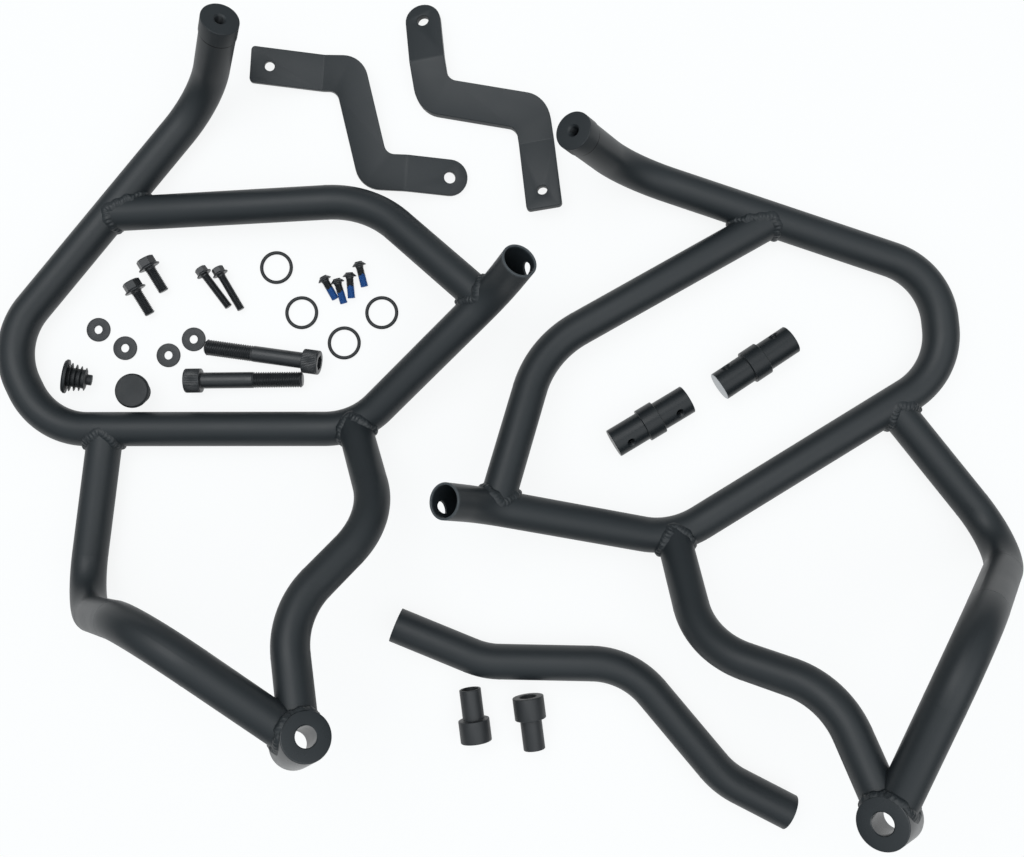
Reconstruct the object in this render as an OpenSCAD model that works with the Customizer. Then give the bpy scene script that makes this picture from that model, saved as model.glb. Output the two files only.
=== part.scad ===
// Motorcycle crash bar kit, laid out flat: two mirrored engine guards, the cross tube and the fittings.
// Millimetres, +Z up, floor at z = 0, origin under the middle of the layout.

/* [Tubes] */
// Outside diameter of the main hoop tube and the cross tube
main_od = 25.4; // [22:0.1:30]
// Outside diameter of the brace and leg tubes
arm_od = 25; // [20:0.1:25]
// Wall thickness of every tube
tube_wall = 1.6; // [1.2:0.1:2.6]
// Centreline radius of the ordinary bends
bend_r = 58; // [45:1:62]
// Centreline radius of the two bends that close the hoop
hoop_bend_r = 52; // [40:1:55]
// Centreline radius of the tight bend at the foot of the outer leg
foot_bend_r = 38; // [30:1:50]

/* [Hoop] */
// Straight lower run of the hoop, corner to corner
lower_run = 232; // [200:1:260]
// Closed end of the hoop: how far it stands out past the lower corner
hoop_reach = 32; // [20:1:45]
// Closed end of the hoop: width from the lower corner to the upper corner
hoop_width = 64; // [60:1:90]
// Upper arm, length along the lower run
arm_along = 150; // [120:1:180]
// Upper arm, length across the lower run
arm_across = 184; // [150:1:220]
// Rising run from the knee to the elbow, along the lower run
rise_along = 104; // [90:1:120]
// Rising run from the knee to the elbow, across the lower run
rise_across = 95; // [80:1:110]
// Height gained from the knee to the elbow
rise_height = 40; // [25:1:55]

/* [Mounting ends] */
// Angle of the boss and of the open end from upright while the guard lies flat
lean = 35; // [20:1:45]
// Direction in plan in which the mounting axes lean
lean_heading = 40; // [25:1:55]
// Angle of the threaded end from upright
cap_lean = 30; // [20:1:45]
// Corner of the upper arm to the face of the threaded end
top_run = 84; // [60:1:95]
// Elbow to the open tube end
open_run = 39; // [32:1:50]
// Length of the threaded cap that shows past the tube
cap_length = 5; // [3:0.5:12]
// Length of the spigot inside the tube
spigot_length = 18; // [10:1:24]
// Bore of the M8 thread in the cap
cap_bore = 6.8; // [5:0.1:8]
// Diameter of the screw hole across each open tube end
screw_hole = 6.6; // [5:0.1:8]
// Distance of the screw hole from the tube end
screw_inset = 12; // [8:0.5:16]
// Turn of the screw hole about the open end
screw_turn = -70; // [-180:5:180]

/* [Brace] */
// Distance of the brace from the hoop's upper corner, along the upper arm
brace_at = 124; // [100:1:150]
// Corner of the brace, seen from where it leaves the upper arm
brace_corner = [195, 7, 10]; // [-50:1:230]
// Bend radius of the brace
brace_bend_r = 75; // [55:1:85]

/* [Legs and boss] */
// Distance of the outer leg from the hoop's lower corner
leg_at = 46; // [40:1:60]
// Foot of the outer leg, seen from where it leaves the hoop
foot_corner = [-15, -134, 0]; // [-160:1:160]
// Upper corner of the outer leg, seen from the boss
outer_corner = [-98, 74, 23]; // [-120:1:120]
// Lower corner of the inner leg, seen from the knee
inner_knee = [26, -63, 57]; // [-100:1:100]
// Upper corner of the inner leg, seen from the boss
inner_corner = [-15, 74, -24]; // [-100:1:100]
// Middle of the boss, seen from the hoop's lower corner at tube height
boss_middle = [219, -196, 118]; // [-220:1:260]
// Outside diameter of the boss
boss_od = 32; // [29:0.5:36]
// Bore of the boss
boss_bore = 13.5; // [12.5:0.1:15]
// Length of the boss
boss_length = 30; // [27:0.5:36]
// Reach of each weld bead over the tubes it joins
weld_reach = 2.6; // [1.5:0.1:4]

/* [Cross tube and couplers] */
// First straight of the cross tube, end to corner
cross_first = 70; // [60:1:85]
// Second straight of the cross tube, corner to corner
cross_second = 104; // [90:1:120]
// Third straight of the cross tube, corner to corner
cross_third = 106; // [95:1:120]
// Last straight of the cross tube, corner to end
cross_last = 52; // [45:1:65]
// Turn of the first cross tube bend
cross_turn_1 = 21; // [10:1:35]
// Turn of the middle cross tube bend
cross_turn_2 = 49; // [35:1:60]
// Turn of the last cross tube bend
cross_turn_3 = 23; // [10:1:35]
// Clearance between a coupler body and the tube around it, on the diameter
coupler_fit = 0.6; // [0.2:0.1:1.2]
// Diameter of the coupler collar
coupler_collar_od = 25; // [23:0.1:26]
// Width of the coupler collar
coupler_collar = 13; // [8:0.5:18]
// Length of the coupler
coupler_length = 63; // [54:1:80]
// Bore of the M6 thread in the couplers
coupler_tap = 5; // [4:0.1:6]
// Depth of the tapped holes in the couplers
coupler_tap_depth = 12; // [6:0.5:16]

/* [Brackets] */
// Width of the bracket strip
bracket_width = 26.5; // [20:0.5:32]
// Thickness of the bracket plate
bracket_plate = 5; // [3:0.5:6]
// Square arm, from its end to its bend
square_arm = 54; // [40:1:60]
// Round arm, from its bend to its tip
round_arm = 45.5; // [40:0.5:60]
// Sloping middle of the bracket, measured along the arms
bracket_middle = 66.5; // [60:0.5:76]
// Height between the two arms
bracket_rise = 28; // [20:1:50]
// Sideways offset between the two arms
bracket_offset = 71.5; // [60:0.5:85]
// Where the web leaves the square arm's line, past the bend
web_start = 19.5; // [16:0.5:24]
// How far the web leans along the arms
web_lean = 22.5; // [10:0.5:26]
// Hole at the square end
bracket_small_hole = 7.4; // [5:0.1:9]
// Hole at the round end
bracket_large_hole = 8.6; // [7:0.1:11]
// Distance from the square end to its hole
bracket_margin = 14; // [8:0.5:18]
// Inside radius of the bracket outline
bracket_inner_r = 8; // [4:0.5:12]
// Outside radius of the bracket outline
bracket_outer_r = 20; // [12:1:24]

/* [Fasteners] */
// Length of the M12 socket bolts under the head
socket_bolt_length = 75; // [60:5:100]
// Length of the M8 flange bolts under the head
m8_length = 20; // [16:1:24]
// Length of the M6 flange bolts under the head
m6_length = 30; // [20:1:34]
// Length of the M6 button screws under the head
button_length = 16; // [12:1:18]
// Outside diameter of the washers
washer_od = 18; // [14:0.5:20]
// Hole of the washers
washer_hole = 6.4; // [6.2:0.1:9]
// Thickness of the washers
washer_thickness = 1.6; // [1:0.1:2.5]
// Outside diameter of the O-rings
ring_od = 25; // [20:0.1:30]
// Section of the O-rings
ring_section = 2.6; // [1.5:0.1:4]

/* [Spacers and tube plugs] */
// Diameter of the thick end of the spacers
spacer_od = 22.8; // [18:0.1:28]
// Length of the thick end of the spacers
spacer_head = 16; // [10:0.5:24]
// Diameter of the thin end of the spacers
spacer_neck_od = 15.8; // [15:0.1:17.6]
// Length of the thin end of the spacers
spacer_neck = 22; // [14:0.5:26]
// Bore of the spacers
spacer_bore = 12.5; // [12.2:0.1:13.4]
// Thickness of the plug's head
plug_head = 3; // [2:0.2:5]
// Length of the plug's ribbed body
plug_body = 13; // [10:0.5:20]
// Number of fins on each tube plug
plug_fins = 4; // [3:1:5]

/* [Hidden] */
$fn = 64;
black = "#2b2d30";
oxide = "#26282a";
rubber = "#1c1d1e";

// Placings are [x, y, heading] from the point under the viewer, and layout_middle moves them
// so that the origin lies under the middle of the layout's box
layout_middle = [-31, 46.9];
left_place = [-365, 30, 0];
right_place = [296, 71, 31.6];
cross_place = [-103.4, -113, -21.9];
coupler_places = [[82.5, 35.3, 31], [159, 77.9, 33.5]];
coupler_rolls = [36, -62];
bracket_places = [[-161.5, 299.3, -3.9], [-0.3, 244.8, 96.5]];
socket_bolt_places = [[-173.5, 80.8, 171.8], [-249.6, 66.2, 0.7]];
m8_places = [[-290.2, 151, -60.6], [-300.4, 133.8, -60.6]];
m6_places = [[-249.5, 146.1, -53.4], [-237.2, 146, -60]];
// The washers lie past the tip of the first socket bolt, each at its own clearance from it
washer_clearances = [[-83.5, 14], [-63, 0], [-30, -5.5], [-11, 6.5]];
ring_places = [[-196.4, 152, 0], [-177, 117.8, 0], [-144.8, 94.9, 0], [-116.7, 117.6, 0]];
button_places = [[-158.9, 141.6, -61.2], [-149.3, 139.6, -74], [-140.4, 144.1, -86], [-133.2, 152.3, -76.5]];
spacer_places = [[-44.6, -197, 97.3], [-7.3, -164.6, -82.7]];
side_plug_place = [-348.9, 69.1, -8.6];
upright_plug_place = [-298, 58, 0];

// Where a straight meets a bend, a sleeve of this half length and height laps a fine seam
sleeve_lap = 1;
sleeve_height = 0.05;
seam_gap = 0.2;

// Vector helpers
function unit(v) = v / norm(v);
function side_of(d) = abs(d[2]) < 0.9 ? unit(cross([0, 0, 1], d)) : unit(cross([0, 1, 0], d));

// A tube is [corner points, bend radii, outside diameter]. The ends have no bend.
function heading(P, i) = unit(P[i + 1] - P[i]);
function turn(P, i) = acos(heading(P, i - 1) * heading(P, i));
function setback(T, i) =
    i == 0 || i == len(T[0]) - 1 ? 0 : T[1][i] * tan(turn(T[0], i) / 2);
function bend_from(T, i) = T[0][i] - heading(T[0], i - 1) * setback(T, i);
function bend_to(T, i) = T[0][i] + heading(T[0], i) * setback(T, i);
function bend_inward(T, i) =
    unit(heading(T[0], i) - heading(T[0], i - 1) * cos(turn(T[0], i)));
// Direction from the start of the bend to its centre
function bend_centre(T, i) = bend_from(T, i) + T[1][i] * bend_inward(T, i);
// Point on the centreline of bend i, at a share of its turn
function on_bend(T, i, share) =
    let (a = turn(T[0], i) * share)
    bend_centre(T, i) - T[1][i] * cos(a) * bend_inward(T, i)
        + T[1][i] * sin(a) * heading(T[0], i - 1);

module in_frame(o, x, y, z)
    multmatrix([[x[0], y[0], z[0], o[0]], [x[1], y[1], z[1], o[1]],
        [x[2], y[2], z[2], o[2]], [0, 0, 0, 1]])
        children();

// Round bar from a to b
module bar(a, b, d) {
    axis = unit(b - a);
    side = side_of(axis);
    in_frame(a, side, cross(axis, side), axis)
        cylinder(h = norm(b - a), d = d);
}

module bend(T, i, d) {
    away = -bend_inward(T, i);
    travel = heading(T[0], i - 1);
    in_frame(bend_centre(T, i), away, travel, cross(away, travel))
        rotate_extrude(angle = turn(T[0], i))
            translate([T[1][i], 0])
                circle(d = d);
}

// Short sleeve that laps the seam between a straight and a bend
module sleeve(at, along, d)
    bar(at - sleeve_lap * along, at + sleeve_lap * along, d + 2 * sleeve_height);

// Solid sweep of a tube's outside, grown by the amount given and run past its ends
module solid_tube(T, grow = 0, past = 0) {
    P = T[0];
    last = len(P) - 1;
    d = T[2] + 2 * grow;
    for (i = [0:last - 1])
        bar(bend_to(T, i) + (i == 0 ? -past : seam_gap) * heading(P, i),
            bend_from(T, i + 1) + (i == last - 1 ? past : -seam_gap) * heading(P, i), d);
    for (i = [1:1:last - 1]) {
        bend(T, i, d);
        sleeve(bend_from(T, i), heading(P, i - 1), d);
        sleeve(bend_to(T, i), heading(P, i), d);
    }
}

module hollow_tube(T)
    difference() {
        solid_tube(T);
        solid_tube(T, -tube_wall, 1);
    }

// Weld bead: what lies within reach of both parts and is in neither
module bead(A, B)
    difference() {
        intersection() {
            solid_tube(A, weld_reach);
            solid_tube(B, weld_reach);
        }
        solid_tube(A);
        solid_tube(B);
    }

// One side guard, hoop flat, its lower corner over the origin at half the tube's height
function leaning(a) = [sin(a) * cos(lean_heading), sin(a) * sin(lean_heading), cos(a)];
mount_axis = leaning(lean);
cap_axis = leaning(cap_lean);
hoop_low = [0, 0, 0];
hoop_high = [-hoop_reach, hoop_width, 0];
arm_top = hoop_high + [arm_along, arm_across, 0];
knee = [lower_run, 0, 0];
elbow = knee + [rise_along, rise_across, rise_height];
cap_face = arm_top + top_run * cap_axis;
cap_seat = arm_top + (top_run - cap_length) * cap_axis;
open_end = elbow + open_run * mount_axis;
main_tube = [[cap_seat, arm_top, hoop_high, hoop_low, knee, elbow, open_end],
    [0, bend_r, hoop_bend_r, hoop_bend_r, bend_r, bend_r, 0], main_od];

brace_start = hoop_high + brace_at * unit(arm_top - hoop_high);
brace_tube = [[brace_start, brace_start + brace_corner, on_bend(main_tube, 5, 0.25)],
    [0, brace_bend_r, 0], arm_od];

boss_low = boss_middle - boss_length / 2 * mount_axis;
boss_high = boss_middle + boss_length / 2 * mount_axis;
boss_bar = [[boss_low, boss_high], [0, 0], boss_od];

leg_start = [leg_at, 0, 0];
outer_leg = [[leg_start, leg_start + foot_corner, boss_middle + outer_corner, boss_middle],
    [0, foot_bend_r, bend_r, 0], arm_od];
inner_leg = [[on_bend(main_tube, 4, 0.5), knee + inner_knee, boss_middle + inner_corner, boss_middle],
    [0, bend_r, bend_r, 0], arm_od];

// Axes at the open end: along the tube, with X turned to the screw hole
module at_open_end()
    translate(open_end)
        rotate([0, lean, lean_heading])
            rotate(screw_turn)
                children();

module main_tube_part()
    difference() {
        hollow_tube(main_tube);
        at_open_end()
            translate([0, 0, -screw_inset])
                rotate([0, 90, 0])
                    cylinder(h = main_od, d = screw_hole);
    }

module brace_part()
    difference() {
        hollow_tube(brace_tube);
        solid_tube(main_tube);
    }

module outer_leg_part()
    difference() {
        hollow_tube(outer_leg);
        solid_tube(main_tube);
        solid_tube(boss_bar, 0, 10);
    }

module inner_leg_part()
    difference() {
        hollow_tube(inner_leg);
        solid_tube(main_tube);
        solid_tube(boss_bar, 0, 10);
        solid_tube(outer_leg);
    }

module boss_part()
    difference() {
        solid_tube(boss_bar);
        bar(boss_low - mount_axis, boss_high + mount_axis, boss_bore);
    }

// Threaded cap: the head shows, the spigot fits the tube's bore
cap_mouth = 1.2;
module cap_part()
    translate(cap_face)
        rotate([0, cap_lean, lean_heading])
            difference() {
                union() {
                    translate([0, 0, -cap_length])
                        cylinder(h = cap_length, d = main_od);
                    translate([0, 0, -cap_length - spigot_length])
                        cylinder(h = spigot_length, d = main_od - 2 * tube_wall);
                }
                translate([0, 0, -cap_length - spigot_length - 1])
                    cylinder(h = cap_length + spigot_length + 2, d = cap_bore);
                translate([0, 0, -cap_mouth])
                    cylinder(h = cap_mouth + 0.01, d1 = cap_bore, d2 = cap_bore + 2 * cap_mouth);
            }

// Rounded seam between the cap and the tube
seam_height = 0.7;
seam_width = 4;
module cap_seam()
    translate(cap_seat)
        rotate([0, cap_lean, lean_heading])
            difference() {
                cylinder(h = seam_width, d = main_od + 2 * seam_height, center = true);
                cylinder(h = seam_width + 2, d = main_od, center = true);
            }

// The beads under the hoop are dressed flat, and the guard stands on them
weld_stand = 0.4;
stand_height = main_od / 2 + weld_stand;
module below_stand()
    translate([-2 * lower_run, -2 * lower_run, -stand_height - main_od])
        cube([4 * lower_run, 4 * lower_run, main_od]);

module welds_part() {
    difference() {
        union() {
            bead(main_tube, brace_tube);
            bead(main_tube, outer_leg);
            bead(main_tube, inner_leg);
        }
        below_stand();
    }
    difference() {
        bead(boss_bar, outer_leg);
        solid_tube(inner_leg);
    }
    difference() {
        bead(boss_bar, inner_leg);
        solid_tube(outer_leg, weld_reach);
    }
    cap_seam();
}

// Put a piece down at one of the placings
module place(p, height = 0)
    translate([p[0] - layout_middle[0], p[1] - layout_middle[1], height])
        rotate(p[2] == undef ? 0 : p[2])
            children();

// Lay a headed piece on the floor: head radius at 0, shank radius at the length given
module lie_down(p, head_r, span, shank_r) {
    dip = atan((head_r - shank_r) / span);
    place(p, head_r * cos(dip))
        rotate([0, 90 + dip, 0])
            children();
}

// Cross tube, bent in one plane
cross_end_1 = [0, 0, 0];
function in_plan(a) = [cos(a), sin(a), 0];
cross_corner_1 = cross_end_1 + cross_first * in_plan(0);
cross_corner_2 = cross_corner_1 + cross_second * in_plan(cross_turn_1);
cross_corner_3 = cross_corner_2 + cross_third * in_plan(cross_turn_1 - cross_turn_2);
cross_end_2 = cross_corner_3 + cross_last * in_plan(cross_turn_1 - cross_turn_2 + cross_turn_3);
cross_bar = [[cross_end_1, cross_corner_1, cross_corner_2, cross_corner_3, cross_end_2],
    [0, bend_r, bend_r, bend_r, 0], main_od];

// The screw holes of the cross tube face the floor
module cross_tube_part()
    difference() {
        hollow_tube(cross_bar);
        translate([screw_inset, 0, -main_od])
            cylinder(h = main_od, d = screw_hole);
        translate(cross_end_2 - screw_inset * heading(cross_bar[0], 3) - [0, 0, main_od])
            cylinder(h = main_od, d = screw_hole);
    }

// Solid coupler with a collar and two tapped holes in a row
coupler_od = main_od - 2 * tube_wall - coupler_fit;
coupler_chamfer = 1;
// Share of its section that an O-ring keeps between the collar and the tube's end
ring_squeeze = 0.8;
module coupler_part()
    difference() {
        rotate([0, 90, 0]) {
            cylinder(h = coupler_length - 2 * coupler_chamfer, d = coupler_od, center = true);
            cylinder(h = coupler_collar, d = coupler_collar_od, center = true);
            for (end = [-1, 1])
                translate([0, 0, end * (coupler_length / 2 - coupler_chamfer)])
                    mirror([0, 0, end < 0 ? 1 : 0])
                        cylinder(h = coupler_chamfer, d1 = coupler_od,
                            d2 = coupler_od - 2 * coupler_chamfer);
        }
        for (end = [-1, 1])
            translate([end * (coupler_collar / 2 + ring_section * ring_squeeze + screw_inset), 0,
                coupler_od / 2 - coupler_tap_depth])
                cylinder(h = coupler_od, d = coupler_tap);
    }

// Points of an outline whose corners are [x, y, radius], each corner an arc
arc_steps = 8;
function corner_arc(C, i) =
    let (n = len(C), r = C[i][2], p = [C[i][0], C[i][1]],
        q = C[(i + n - 1) % n], s = C[(i + 1) % n],
        back = unit([q[0], q[1]] - p), on = unit([s[0], s[1]] - p),
        half = acos(back * on) / 2,
        middle = p + unit(back + on) * r / sin(half),
        first = p + back * r / tan(half) - middle, last = p + on * r / tan(half) - middle,
        start = atan2(first[1], first[0]), swing = atan2(cross(first, last), first * last))
    [for (k = [0:arc_steps])
        middle + r * [cos(start + swing * k / arc_steps), sin(start + swing * k / arc_steps)]];
function rounded(C) = [for (i = [0:len(C) - 1]) each corner_arc(C, i)];

// Bracket: the strip's side view run sideways, trimmed by its outline in plan
web_half = bracket_width / 2 * bracket_middle / norm([bracket_middle, bracket_rise])
    * norm([web_lean, bracket_offset]) / bracket_offset;
function web_x(y) = web_start - web_lean * y / bracket_offset;
module bracket_outline() {
    half = bracket_width / 2;
    tip = bracket_middle + round_arm;
    polygon(rounded([
        [-square_arm, half, 3],
        [web_x(half) + web_half, half, bracket_outer_r],
        [web_x(half - bracket_offset) + web_half, half - bracket_offset, bracket_inner_r],
        [tip, half - bracket_offset, half - 0.05],
        [tip, -half - bracket_offset, half - 0.05],
        [web_x(-half - bracket_offset) - web_half, -half - bracket_offset, bracket_outer_r],
        [web_x(-half) - web_half, -half, bracket_inner_r],
        [-square_arm, -half, 3]]));
}
bracket_fold_r = 3;
module bracket_side_view() {
    t = bracket_plate;
    slope = atan(bracket_rise / bracket_middle);
    shift = t * tan(slope / 2);
    polygon(rounded([
        [-square_arm - 1, 0, 0.1],
        [shift / 2, 0, bracket_fold_r + t],
        [bracket_middle + shift / 2, bracket_rise, bracket_fold_r],
        [bracket_middle + round_arm + 1, bracket_rise, 0.1],
        [bracket_middle + round_arm + 1, bracket_rise + t, 0.1],
        [bracket_middle - shift / 2, bracket_rise + t, bracket_fold_r + t],
        [-shift / 2, t, bracket_fold_r],
        [-square_arm - 1, t, 0.1]]));
}
module bracket_part()
    difference() {
        intersection() {
            translate([0, bracket_width, 0])
                rotate([90, 0, 0])
                    linear_extrude(bracket_offset + 2 * bracket_width)
                        bracket_side_view();
            linear_extrude(bracket_rise + 2 * bracket_plate)
                bracket_outline();
        }
        translate([bracket_margin - square_arm, 0, -1])
            cylinder(h = bracket_plate + 2, d = bracket_small_hole);
        translate([bracket_middle + round_arm - bracket_width / 2, -bracket_offset, bracket_rise - 1])
            cylinder(h = bracket_plate + 2, d = bracket_large_hole);
    }

// At rest a bracket stands on three points: its first fold, the web's outer corner and the round
// tip. Each depends on the way down, so the way down is found in a few rounds.
bracket_slope = bracket_rise / bracket_middle;
function fold_point(down) =
    let (r = bracket_fold_r + bracket_plate, half_turn = atan(bracket_slope) / 2,
        way = unit([down[0], down[2]]))
    [bracket_plate * tan(half_turn) / 2 - r * tan(half_turn) + r * way[0],
        -bracket_width / 2, r + r * way[1]];
function corner_point(down) =
    let (y = bracket_outer_r - bracket_width / 2 - bracket_offset,
        x = web_x(y) - web_half + bracket_outer_r * norm([web_lean, bracket_offset]) / bracket_offset,
        way = unit([down[0] + bracket_slope * down[2], down[1]]),
        p = [x, y] + bracket_outer_r * way)
    [p[0], p[1], bracket_slope * (p[0] - bracket_plate * tan(atan(bracket_slope) / 2) / 2)];
function tip_point(down) =
    let (half = bracket_width / 2, way = unit([down[0], down[1]]))
    [bracket_middle + round_arm - half + half * way[0], half * way[1] - bracket_offset, bracket_rise];
function rest_down(down, rounds) =
    rounds == 0 ? down :
    let (a = fold_point(down), n = unit(cross(tip_point(down) - a, corner_point(down) - a)))
    rest_down(n[2] < 0 ? n : -n, rounds - 1);
module resting_bracket() {
    down = rest_down([0.18, -0.12, -0.97], 6);
    translate([0, 0, down * fold_point(down)])
        rotate([atan2(-down[1], -down[2]), atan2(down[0], norm([down[1], down[2]])), 0])
            bracket_part();
}

// Threaded shank along +Z from under the head, with a chamfered tip
module shank(d, length, tip) {
    cylinder(h = length - tip, d = d);
    translate([0, 0, length - tip])
        cylinder(h = tip, d1 = d, d2 = d - 2 * tip);
}

socket_bolt_d = 12;
socket_head_d = 18;
socket_head_h = 12;
socket_size = 10;
socket_depth = 6;
socket_edge = 0.8;
socket_tip = 1.4;
module socket_bolt_part()
    difference() {
        union() {
            shank(socket_bolt_d, socket_bolt_length, socket_tip);
            translate([0, 0, socket_edge - socket_head_h])
                cylinder(h = socket_head_h - socket_edge, d = socket_head_d);
            translate([0, 0, -socket_head_h])
                cylinder(h = socket_edge, d1 = socket_head_d - 2 * socket_edge, d2 = socket_head_d);
        }
        translate([0, 0, -socket_head_h - 1])
            cylinder(h = socket_depth + 1, d = socket_size / cos(30), $fn = 6);
    }

// Flange bolt: hex size s, flange f, head height h
module flange_bolt_part(d, length, s, f, h, rim) {
    shank(d, length, d / 10);
    translate([0, 0, -rim])
        cylinder(h = rim, d = f);
    translate([0, 0, -rim - (f - s) / 3])
        cylinder(h = (f - s) / 3, d1 = s, d2 = f);
    intersection() {
        translate([0, 0, -h])
            cylinder(h = h, d = s / cos(30), $fn = 6);
        translate([0, 0, -h])
            cylinder(h = h, d1 = s * 0.98, d2 = s * 0.98 + 2 * h);
    }
}
m8_flange = 16;
m8_rim = 1.2;
m6_flange = 11.6;
m6_rim = 1;

button_head_d = 10.5;
button_head_h = 3.3;
button_socket = 4;
button_socket_depth = 2;
module button_screw_part() {
    dome_r = (pow(button_head_d / 2, 2) + pow(button_head_h, 2)) / (2 * button_head_h);
    shank(6, button_length, 0.6);
    difference() {
        intersection() {
            translate([0, 0, -button_head_h])
                cylinder(h = button_head_h, d = button_head_d);
            translate([0, 0, dome_r - button_head_h])
                sphere(dome_r);
        }
        translate([0, 0, -button_head_h - 1])
            cylinder(h = button_socket_depth + 1, d = button_socket / cos(30), $fn = 6);
    }
}

module washer_part()
    difference() {
        cylinder(h = washer_thickness, d = washer_od);
        translate([0, 0, -1])
            cylinder(h = washer_thickness + 2, d = washer_hole);
    }

module ring_part()
    translate([0, 0, ring_section / 2])
        rotate_extrude()
            translate([(ring_od - ring_section) / 2, 0])
                circle(d = ring_section, $fn = 24);

module spacer_part()
    difference() {
        union() {
            cylinder(h = spacer_head, d = spacer_od);
            cylinder(h = spacer_head + spacer_neck, d = spacer_neck_od);
        }
        translate([0, 0, -1])
            cylinder(h = spacer_head + spacer_neck + 2, d = spacer_bore);
    }

// Tube plug: head at 0 facing -Z, fins and nub along +Z, each fin smaller than the one before
plug_core = 14;
plug_fin = 1.2;
plug_fin_od = main_od - 2 * tube_wall - 0.8;
plug_last_od = plug_fin_od - 4;
plug_nub_od = 8;
plug_nub = 4;
plug_rim = 1.2;
fin_pitch = (plug_body - plug_fin) / (plug_fins - 0.5);
module tube_plug_part() {
    translate([0, 0, -plug_head])
        cylinder(h = plug_rim, d1 = main_od - 2 * plug_rim, d2 = main_od);
    translate([0, 0, plug_rim - plug_head])
        cylinder(h = plug_head - plug_rim, d = main_od);
    cylinder(h = plug_body, d = plug_core);
    for (i = [1:plug_fins])
        translate([0, 0, plug_body - plug_fin - (plug_fins - i) * fin_pitch])
            cylinder(h = plug_fin,
                d = plug_fin_od - (plug_fin_od - plug_last_od) * (i - 1) / (plug_fins - 1));
    cylinder(h = plug_body + plug_nub, d = plug_nub_od);
}

module left_guard()
    place(left_place, stand_height)
        children();

module right_guard()
    place(right_place, stand_height)
        mirror([1, 0, 0])
            children();

module left_main_tube() color(black) left_guard() main_tube_part();
module left_brace_tube() color(black) left_guard() brace_part();
module left_outer_leg() color(black) left_guard() outer_leg_part();
module left_inner_leg() color(black) left_guard() inner_leg_part();
module left_boss() color(black) left_guard() boss_part();
module left_threaded_cap() color(black) left_guard() cap_part();
module left_welds() color(black) left_guard() welds_part();
module right_main_tube() color(black) right_guard() main_tube_part();
module right_brace_tube() color(black) right_guard() brace_part();
module right_outer_leg() color(black) right_guard() outer_leg_part();
module right_inner_leg() color(black) right_guard() inner_leg_part();
module right_boss() color(black) right_guard() boss_part();
module right_threaded_cap() color(black) right_guard() cap_part();
module right_welds() color(black) right_guard() welds_part();

module cross_tube()
    color(black)
        place(cross_place, main_od / 2 + sleeve_height)
            cross_tube_part();
module coupler(i)
    color(black)
        place(coupler_places[i], coupler_collar_od / 2)
            rotate([coupler_rolls[i], 0, 0])
                coupler_part();
module bracket(i)
    color(black)
        place(bracket_places[i])
            mirror([0, i, 0])
                resting_bracket();
module socket_bolt(i)
    color(oxide)
        lie_down(socket_bolt_places[i], socket_head_d / 2, socket_bolt_length - socket_tip,
            socket_bolt_d / 2)
            socket_bolt_part();
module m8_flange_bolt(i)
    color(oxide)
        lie_down(m8_places[i], m8_flange / 2, m8_length - 0.8, 4)
            flange_bolt_part(8, m8_length, 12, m8_flange, 8, m8_rim);
module m6_flange_bolt(i)
    color(oxide)
        lie_down(m6_places[i], m6_flange / 2, m6_length - 0.6, 3)
            flange_bolt_part(6, m6_length, 8, m6_flange, 6, m6_rim);
module button_screw(i)
    color(oxide)
        lie_down(button_places[i], button_head_d / 2, button_length - 0.6, 3)
            button_screw_part();
module washer(i)
    color(oxide)
        place([for (k = [0, 1]) socket_bolt_places[0][k] + washer_clearances[i][k]
            + socket_bolt_length * in_plan(socket_bolt_places[0][2])[k]])
            washer_part();
module o_ring(i) color(rubber) place(ring_places[i]) ring_part();
module spacer(i)
    color(oxide)
        place(spacer_places[i], spacer_od / 2)
            rotate([0, 90, 0])
                spacer_part();
module tube_plug_1()
    color(rubber)
        lie_down(side_plug_place, main_od / 2, plug_body, plug_last_od / 2)
            tube_plug_part();
module tube_plug_2()
    color(rubber)
        place(upright_plug_place, plug_body + plug_nub)
            rotate([180, 0, 0])
                tube_plug_part();

left_main_tube();
left_brace_tube();
left_outer_leg();
left_inner_leg();
left_boss();
left_threaded_cap();
left_welds();
right_main_tube();
right_brace_tube();
right_outer_leg();
right_inner_leg();
right_boss();
right_threaded_cap();
right_welds();
cross_tube();
coupler(0);  // coupler_1
coupler(1);  // coupler_2
bracket(0);  // bracket_1
bracket(1);  // bracket_2
socket_bolt(0);  // socket_bolt_1
socket_bolt(1);  // socket_bolt_2
spacer(0);  // spacer_1
spacer(1);  // spacer_2
m8_flange_bolt(0);  // m8_flange_bolt_1
m8_flange_bolt(1);  // m8_flange_bolt_2
m6_flange_bolt(0);  // m6_flange_bolt_1
m6_flange_bolt(1);  // m6_flange_bolt_2
washer(0);  // washer_1
washer(1);  // washer_2
washer(2);  // washer_3
washer(3);  // washer_4
o_ring(0);  // o_ring_1
o_ring(1);  // o_ring_2
o_ring(2);  // o_ring_3
o_ring(3);  // o_ring_4
button_screw(0);  // button_screw_1
button_screw(1);  // button_screw_2
button_screw(2);  // button_screw_3
button_screw(3);  // button_screw_4
tube_plug_1();
tube_plug_2();
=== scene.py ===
# Motorcycle crash bar kit laid out flat on a white floor, seen from above
import math
import random
import bmesh
import bpy
from mathutils import Matrix, Vector


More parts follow.
